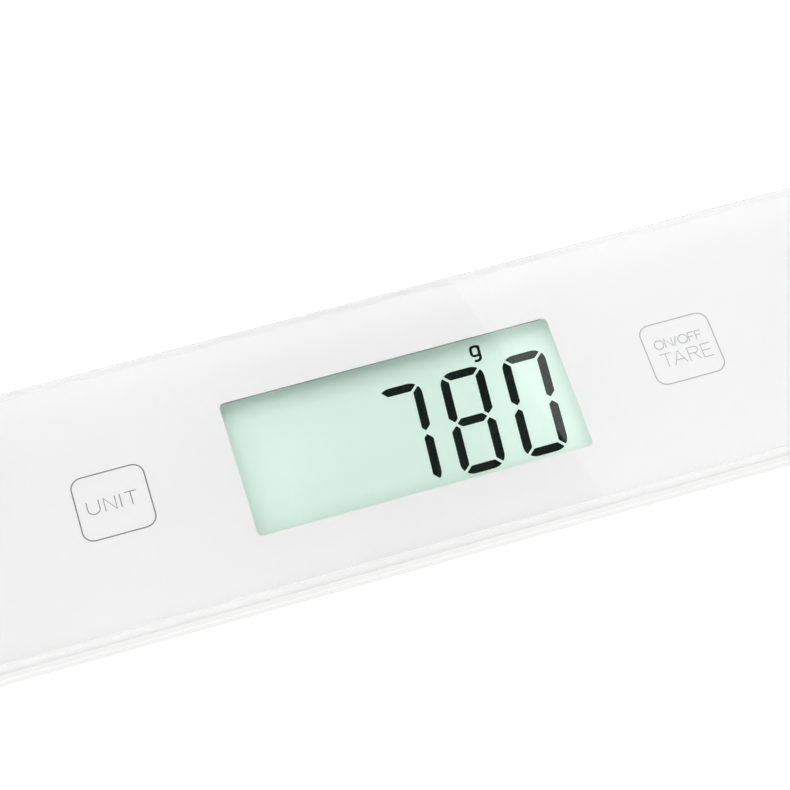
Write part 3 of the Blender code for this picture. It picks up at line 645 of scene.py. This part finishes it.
class SCALE_OT_glass(Operator):
    """Glass plate with a finely ground upper edge"""
    bl_idname = "scale.glass"
    bl_label = "Glass plate"

    def execute(self, context):
        sizes, _ = settings()
        inset, height = quarter_rounds(GLASS_LOW.z, GLASS_HIGH.z, LOWER_ARRIS, sizes.top_arris, 8)
        rings = rectangle_rings(BAR_LENGTH, BAR_DEPTH, sizes.corner_radius, inset, height, 24)
        plate = capped("glass_plate", rings)
        even_normals(plate)
        tint, smear = (0.997, 1.0, 0.999), 0.004
        dress(plate, polished_glass("polished_glass", tint, smear).material)
        side = polished_glass("plate_side", tint, smear)
        ground = grained("ground_edge", (0.62, 0.62, 0.62), 0.6, grain=4000.0, depth=0.002 * MM)
        for finish in (side, ground):
            plate.data.materials.append(frosted_inside(finish))
        for face in plate.data.polygons:
            if abs(face.normal.z) < CAP_FACING:
                face.material_index = 2 if face.center.z > GLASS_HIGH.z - sizes.top_arris else 1
        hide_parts("glass_top")
        return {"FINISHED"}


PRINT_LEVEL = GLASS_LOW.z + 0.020 * MM     # the print lies in the glass's lower skin
PRINT_THICKNESS = 0.015 * MM
INK_LEVEL = PRINT_LEVEL + 0.020 * MM
INK_THICKNESS = 0.010 * MM


class SCALE_OT_print(Operator):
    """White print behind the glass, with the display window left clear"""
    bl_idname = "scale.back_print"
    bl_label = "Back print"

    def execute(self, context):
        sizes, colours = settings()
        margin = 0.002 * MM
        levels = np.array([PRINT_LEVEL, PRINT_LEVEL + PRINT_THICKNESS])
        outer = rectangle_rings(BAR_LENGTH, BAR_DEPTH, sizes.corner_radius, np.full(2, margin), levels, 24)
        window = rectangle_rings(sizes.window_length, sizes.window_depth, sizes.window_radius, np.zeros(2),
                                 levels[::-1], 24)
        window[..., 1] -= sizes.print_shift
        sheet = looped("back_print", np.concatenate([outer, window]), smooth=False)
        dress(sheet, printed_white("back_print", tuple(colours.print_white)))
        return {"FINISHED"}


class SCALE_OT_keys(Operator):
    """Outlines and plain words of the two touch keys"""
    bl_idname = "scale.keys"
    bl_label = "Touch keys"

    def execute(self, context):
        sizes, colours = settings()
        high = INK_LEVEL + INK_THICKNESS
        key_y = KEYS_OFFSET[1] - sizes.print_shift
        centre, direction = corner_fan(sizes.key_length, sizes.key_depth, sizes.key_radius, 10)
        outline = centre + sizes.key_radius * direction
        words = {       # piece, word, place on the key, height, width and line width
            "left": [("unit", "UNIT", (-0.15 * MM, 0.0), 2.5 * MM, 8.7 * MM, 0.15 * MM)],
            "right": [("on_off", "ON/OFF", (-0.1 * MM, 1.8 * MM), 1.7 * MM, 8.8 * MM, 0.17 * MM),
                      ("tare", "TARE", (0.35 * MM, -1.45 * MM), 2.6 * MM, 9.4 * MM, 0.15 * MM)],
        }
        # the right key's ink carries a painted reflection, so it is lighter than the left key's
        for side, sign, colour in (("left", -1, colours.ink_left), ("right", 1, colours.ink_right_painted_reflection)):
            ink = key_ink(f"ink_{side}", tuple(colour))
            middle = np.array([sign * sizes.key_x + KEYS_OFFSET[0], key_y])
            frame_line = ribbon(outline + middle, sizes.key_line, INK_LEVEL, high, closed=True)
            dress(new_piece(f"key_outline_{side}", *frame_line, smooth=False), ink)
            for name, word, offset, height, width, stroke in words[side]:
                bodies = word_bodies(word, middle + offset, height, width, stroke, INK_LEVEL, high)
                dress(new_piece(f"legend_{name}", *join_grids(bodies), smooth=False), ink)
        return {"FINISHED"}


class SCALE_OT_display(Operator):
    """Display cell, the film behind it and the switched-on segments"""
    bl_idname = "scale.display"
    bl_label = "Display"

    def execute(self, context):
        sizes, colours = settings()
        ledge_top = CELL_LOW.z + (CELL_HIGH.z - CELL_LOW.z) / 2
        lower_shift = 0.9 * MM
        lower = rectangle_rings(CELL_LENGTH - 0.2 * MM, CELL_DEPTH - 2 * MM, 0.3 * MM, np.zeros(2),
                                [CELL_LOW.z, ledge_top], 4)
        lower[..., 1] += lower_shift
        upper = rectangle_rings(CELL_LENGTH, CELL_DEPTH, 0.4 * MM, [0.0, 0.0, 0.1 * MM],
                                [ledge_top, CELL_HIGH.z - 0.1 * MM, CELL_HIGH.z], 4)
        pane = capped("display_pane", np.concatenate([lower, upper]), angle=30)
        clear = polished_glass("display_pane", (0.995, 1.0, 0.997), smear=0.0, ior=1.15)
        dress(pane, clear.material)
        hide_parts("lcd_cell")
        film_levels = [CELL_LOW.z + 0.02 * MM, CELL_LOW.z + 0.04 * MM]
        sheet = rectangle_rings(CELL_LENGTH - 0.6 * MM, CELL_DEPTH - 2.05 * MM, 0.3 * MM, np.zeros(2),
                                film_levels, 4)
        sheet[..., 1] += lower_shift
        film = capped("display_film", sheet, smooth=False)
        dress(film, display_film("display_film", tuple(colours.display_mint)))
        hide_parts("lcd_reflector")
        low, high = ledge_top - 0.005 * MM, ledge_top + 0.005 * MM
        ink = segment_ink("segment_ink", tuple(colours.segment_dark))
        signs = {}
        for step, (place_value, digit) in enumerate((("hundreds", "7"), ("tens", "8"), ("ones", "0")), -1):
            centre = np.array(DIGITS_MIDDLE) + (step * sizes.digit_pitch, 0.0)
            signs[f"digit_{place_value}"] = digit_bodies(digit, centre, sizes, low, high)
        signs["unit_mark"] = gram_bodies(np.array(UNIT_MIDDLE), low, high)
        for name, bodies in signs.items():
            piece = new_piece(name, *join_grids(bodies), smooth=False)
            dress(piece, ink)
            piece.visible_diffuse = False      # the segments cast no soft shade on the film
        return {"FINISHED"}


def closed_frame_seams(points):
    """Frame points with the rim lifted to the glass and the lower edge lowered to the tray, by most
    of a seam each."""
    moved = points.copy()
    level = points[:, 2]
    inset = np.minimum(BAR_LENGTH / 2 - abs(points[:, 0]), BAR_DEPTH / 2 - abs(points[:, 1]))
    outer = (level > FRAME_HIGH.z - 0.6 * MM) & (inset < 1.5 * MM)
    top = level > FRAME_HIGH.z - 0.1 * MM
    moved[outer | top, 2] += 0.75 * SEAM
    moved[level < FRAME_LOW.z + 0.5 * MM, 2] -= 0.37 * SEAM
    return moved


def closed_tray_seam(points):
    """Tray points with the band's upper edge raised to the frame."""
    moved = points.copy()
    band_top = FRAME_LOW.z - SEAM
    edge = (points[:, 2] > band_top - 0.5 * MM) & (points[:, 2] < band_top + 0.1 * MM)
    moved[edge, 2] += 0.37 * SEAM
    return moved


class SCALE_OT_housing(Operator):
    """Upper frame, base tray and battery door in moulded white plastic"""
    bl_idname = "scale.housing"
    bl_label = "Housing"

    def execute(self, context):
        _, colours = settings()
        plastic = moulded_plastic("moulded_white", tuple(colours.plastic_white))
        dress(merged_copy("upper_frame", "frame_shell", closed_frame_seams), plastic)
        dress(merged_copy("base_tray", "tray_shell", closed_tray_seam), plastic)
        dress(merged_copy("battery_door", "battery_cover"), plastic)
        dress(merged_copy("lcd_holder", "display_holder"), plastic)
        return {"FINISHED"}


def foot_profile(low, high):
    """Radii and heights of a foot: a recess for the pad, a rounded disc and the stem above it."""
    disc, recess, stem = 6.3 * MM, 5.6 * MM, 3.5 * MM
    disc_top = low + 2.5 * MM
    inset, height = quarter_rounds(low, disc_top, 0.3 * MM, 0.5 * MM, 5)
    fillet = 0.3 * MM
    radius = np.concatenate([[recess, recess], disc - inset, [stem + fillet, stem, stem, stem - fillet]])
    height = np.concatenate([[low + 0.65 * MM, low], height,
                             [disc_top, disc_top + fillet, high - fillet, high]])
    return radius, height


def pad_profile(low, high):
    """Radii and heights of a rubber pad: three raised rings underneath and a rounded rim."""
    rim, pitch, depth = 5.4 * MM, 1.5 * MM, 0.18 * MM
    ripple = np.linspace(0.4 * MM, rim - 0.5 * MM, 60)
    groove = depth * np.clip(np.cos(ripple / pitch * 2 * np.pi) * 2.5, 0.0, 1.0)
    inset, height = quarter_rounds(low, high, 0.3 * MM, 0.05 * MM, 5)
    return np.concatenate([ripple, rim - inset]), np.concatenate([low + groove, height])


class SCALE_OT_feet(Operator):
    """Feet and their ringed rubber pads"""
    bl_idname = "scale.feet"
    bl_label = "Feet"

    def execute(self, context):
        _, colours = settings()
        plastic = moulded_plastic("foot_white", tuple(colours.plastic_white))
        rubber = soft_rubber("pad_rubber", tuple(colours.pad_grey))
        for corner in CORNERS:
            body = frame["nodes"][f"foot_{corner}"]["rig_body"]
            for node, name, profile, finish, slot in (
                    (f"foot_{corner}", f"foot_shell_{corner}", foot_profile, plastic, "white_abs"),
                    (f"foot_pad_{corner}", f"ringed_pad_{corner}", pad_profile, rubber, "grey_rubber")):
                low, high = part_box(node)
                piece = capped(name, turned_rings(*profile(low.z, high.z), 72), angle=35)
                place(piece, ((low.x + high.x) / 2, (low.y + high.y) / 2, 0.0))
                dress(piece, finish, body)
                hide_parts(node)
        return {"FINISHED"}


class SCALE_OT_underside(Operator):
    """Case screws and the coin cell, which show from below"""
    bl_idname = "scale.underside"
    bl_label = "Screws and coin cell"

    def execute(self, context):
        steel = plated_steel("screw_steel")
        for index in range(1, 7):
            dress(merged_copy(f"case_screw_{index}", f"case_screw_shell_{index}"), steel)
        low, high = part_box("coin_cell")
        outer = (high.x - low.x) / 2
        inset, height = quarter_rounds(low.z, high.z - 0.9 * MM, 0.35 * MM, 0.30 * MM, 5)
        radius = np.concatenate([[outer - 2.2 * MM, outer - 2.1 * MM], outer - inset,
                                 [outer - 0.8 * MM, outer - 1.3 * MM, outer - 1.5 * MM]])
        height = np.concatenate([[low.z + 0.10 * MM, low.z], height,
                                 [high.z - 0.7 * MM, high.z - 0.2 * MM, high.z]])
        cell = capped("coin_cell_can", turned_rings(radius, height, 96), angle=30)
        place(cell, ((low.x + high.x) / 2, (low.y + high.y) / 2, 0.0))
        dress(cell, plated_steel("cell_steel", (0.72, 0.72, 0.74), 0.18, (1, 1, 1)))
        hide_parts("coin_cell")
        return {"FINISHED"}


class SCALE_OT_inside(Operator):
    """Finishes of the parts inside the housing"""
    bl_idname = "scale.inside"
    bl_label = "Inner parts"

    def execute(self, context):
        finishes = inner_finishes()
        slots = {part["node"]: part["material_slot"] for part in frame["record"]["subparts"]}
        for node, part in frame["nodes"].items():
            if not part.hide_render:
                part.data.materials.clear()
                part.data.materials.append(finishes[slots[node]])
        return {"FINISHED"}


# ---------------------------------------------------------------- stage

CAMERA_PLACE = Vector((-57.6, -161.5, 363.9)) * MM
CAMERA_TARGET = Vector((-0.16, 5.46, 11.17)) * MM
CAMERA_ROLL = math.radians(2.07)
CAMERA_LENS = 103.35
CARD_EDGE = Vector((0.9190, 0.2355, -0.3163))      # normal of the card's straight edge, seen from the plate
CARD_MIDDLE = Vector((0.16, 0.42, 0.893))          # middle of the dark ceiling over the plate
CARD_SOFTNESS = 0.0006
PATCH_CORE, PATCH_EDGE = math.radians(24), math.radians(32)
CEILING_GLOW, CARD_GLOW = 0.04, 0.87
HORIZON_GLOW, ZENITH_GLOW = 0.30, 4.36
HEIGHT_POWER = 2.5                                 # how steeply the room brightens towards the zenith
BACKDROP_LOW, BACKDROP_HIGH = 1.05, 0.60           # plain backdrop that is seen past the floor's edge
FLOOR_HALF, FLOOR_GLOW = 1.6, 0.97
UP = Vector((0.0, 0.0, 1.0))


def pale_floor():
    """Large pale floor that glows softly, as on a light table, and is clear from underneath."""
    corners = [(x * FLOOR_HALF, y * FLOOR_HALF, 0.0) for x, y in ((-1, -1), (1, -1), (1, 1), (-1, 1))]
    floor = new_piece("floor", corners, [[0, 1, 2, 3]], smooth=False)
    finish = Finish("pale_floor").set(roughness=0.9, emission_strength=FLOOR_GLOW)
    finish.shader.inputs["Emission Color"].default_value = (1.0, 1.0, 1.0, 1.0)
    speckle = finish.noise(300.0, 3.0)
    finish.colour(finish.blend(speckle, (0.045, 0.045, 0.045), (0.055, 0.055, 0.055)))
    from_below = finish.add("ShaderNodeNewGeometry").outputs["Backfacing"]
    clear = finish.add("ShaderNodeBsdfTransparent").outputs["BSDF"]
    one_way = finish.add("ShaderNodeMixShader", {0: from_below, 1: finish.shader.outputs["BSDF"], 2: clear})
    finish.surface(one_way.outputs["Shader"])
    floor.data.materials.append(finish.material)


def studio_light():
    """White room with a dark ceiling patch above the plate, half covered by a white card.

    Light and reflections come from the room; past the floor's edge a plain backdrop is seen."""
    world = bpy.data.worlds.new("studio")
    world.use_nodes = True
    tree = world.node_tree
    nodes, links = tree.nodes, tree.links
    sight = nodes.new("ShaderNodeTexCoord").outputs["Generated"]

    def towards(direction):
        dot = nodes.new("ShaderNodeVectorMath")
        dot.operation = "DOT_PRODUCT"
        links.new(sight, dot.inputs[0])
        dot.inputs[1].default_value = direction.normalized()
        return dot.outputs["Value"]

    def step(value, low, high, out_low, out_high, smooth=True):
        node = nodes.new("ShaderNodeMapRange")
        node.interpolation_type = "SMOOTHSTEP" if smooth else "LINEAR"
        for key, number in (("From Min", low), ("From Max", high)):
            node.inputs[key].default_value = number
        for key, number in (("To Min", out_low), ("To Max", out_high)):
            if isinstance(number, bpy.types.NodeSocket):
                links.new(number, node.inputs[key])
            else:
                node.inputs[key].default_value = number
        links.new(value, node.inputs["Value"])
        return node.outputs["Result"]

    card = step(towards(CARD_EDGE), -CARD_SOFTNESS, CARD_SOFTNESS, CEILING_GLOW, CARD_GLOW)
    height = nodes.new("ShaderNodeMath")
    height.operation = "POWER"
    links.new(step(towards(UP), 0.0, 1.0, 0.0, 1.0, smooth=False), height.inputs[0])
    height.inputs[1].default_value = HEIGHT_POWER
    room = step(height.outputs["Value"], 0.0, 1.0, HORIZON_GLOW, ZENITH_GLOW, smooth=False)
    glow = step(towards(CARD_MIDDLE), math.cos(PATCH_EDGE), math.cos(PATCH_CORE), room, card)
    backdrop = step(towards(UP), 0.1, 0.5, BACKDROP_LOW, BACKDROP_HIGH)
    camera_ray = nodes.new("ShaderNodeLightPath").outputs["Is Camera Ray"]
    seen = step(camera_ray, 0.0, 1.0, glow, backdrop, smooth=False)
    background = nodes["Background"]
    background.inputs["Color"].default_value = (1.0, 1.0, 1.0, 1.0)
    links.new(seen, background.inputs["Strength"])
    bpy.context.scene.world = world


def studio_camera():
    """Long lens above the front left of the bar, rolled so that the bar climbs to the right."""
    lens = bpy.data.cameras.new("camera")
    lens.lens = CAMERA_LENS
    lens.sensor_width = 36.0
    lens.clip_start = 0.01
    camera = bpy.data.objects.new("camera", lens)
    aim = (CAMERA_TARGET - CAMERA_PLACE).to_track_quat("-Z", "Y").to_matrix().to_4x4()
    camera.matrix_world = Matrix.Translation(CAMERA_PLACE) @ aim @ Matrix.Rotation(CAMERA_ROLL, 4, "Z")
    bpy.context.scene.collection.objects.link(camera)
    bpy.context.scene.camera = camera


class SCALE_OT_stage(Operator):
    """Pale floor, soft studio light and the camera"""
    bl_idname = "scale.stage"
    bl_label = "Stage"

    def execute(self, context):
        pale_floor()
        studio_light()
        studio_camera()
        context.scene.view_settings.view_transform = "Standard"
        return {"FINISHED"}


# ---------------------------------------------------------------- add-on

STEPS = (SCALE_OT_glass, SCALE_OT_print, SCALE_OT_keys, SCALE_OT_display, SCALE_OT_housing, SCALE_OT_feet,
         SCALE_OT_underside, SCALE_OT_inside, SCALE_OT_stage)


class SCALE_PT_panel(Panel):
    """Lists the sizes, the colours and one button for each group of pieces"""
    bl_idname = "SCALE_PT_panel"
    bl_label = "Kitchen Scale"
    bl_space_type = "VIEW_3D"
    bl_region_type = "UI"
    bl_category = "Kitchen Scale"

    def draw(self, context):
        for group in (context.scene.scale_sizes, context.scene.scale_colours):
            column = self.layout.column(align=True)
            for name in group.__annotations__:
                column.prop(group, name)
        column = self.layout.column()
        for step in STEPS:
            column.operator(step.bl_idname)


CLASSES = (ScaleSizes, ScaleColours, *STEPS, SCALE_PT_panel)


def register():
    for item in CLASSES:
        bpy.utils.register_class(item)
    bpy.types.Scene.scale_sizes = PointerProperty(type=ScaleSizes)
    bpy.types.Scene.scale_colours = PointerProperty(type=ScaleColours)


def unregister():
    del bpy.types.Scene.scale_colours
    del bpy.types.Scene.scale_sizes
    for item in reversed(CLASSES):
        bpy.utils.unregister_class(item)


def main():
    register()
    for step in STEPS:
        group, action = step.bl_idname.split(".")
        getattr(getattr(bpy.ops, group), action)()


if __name__ == "__main__":
    main()
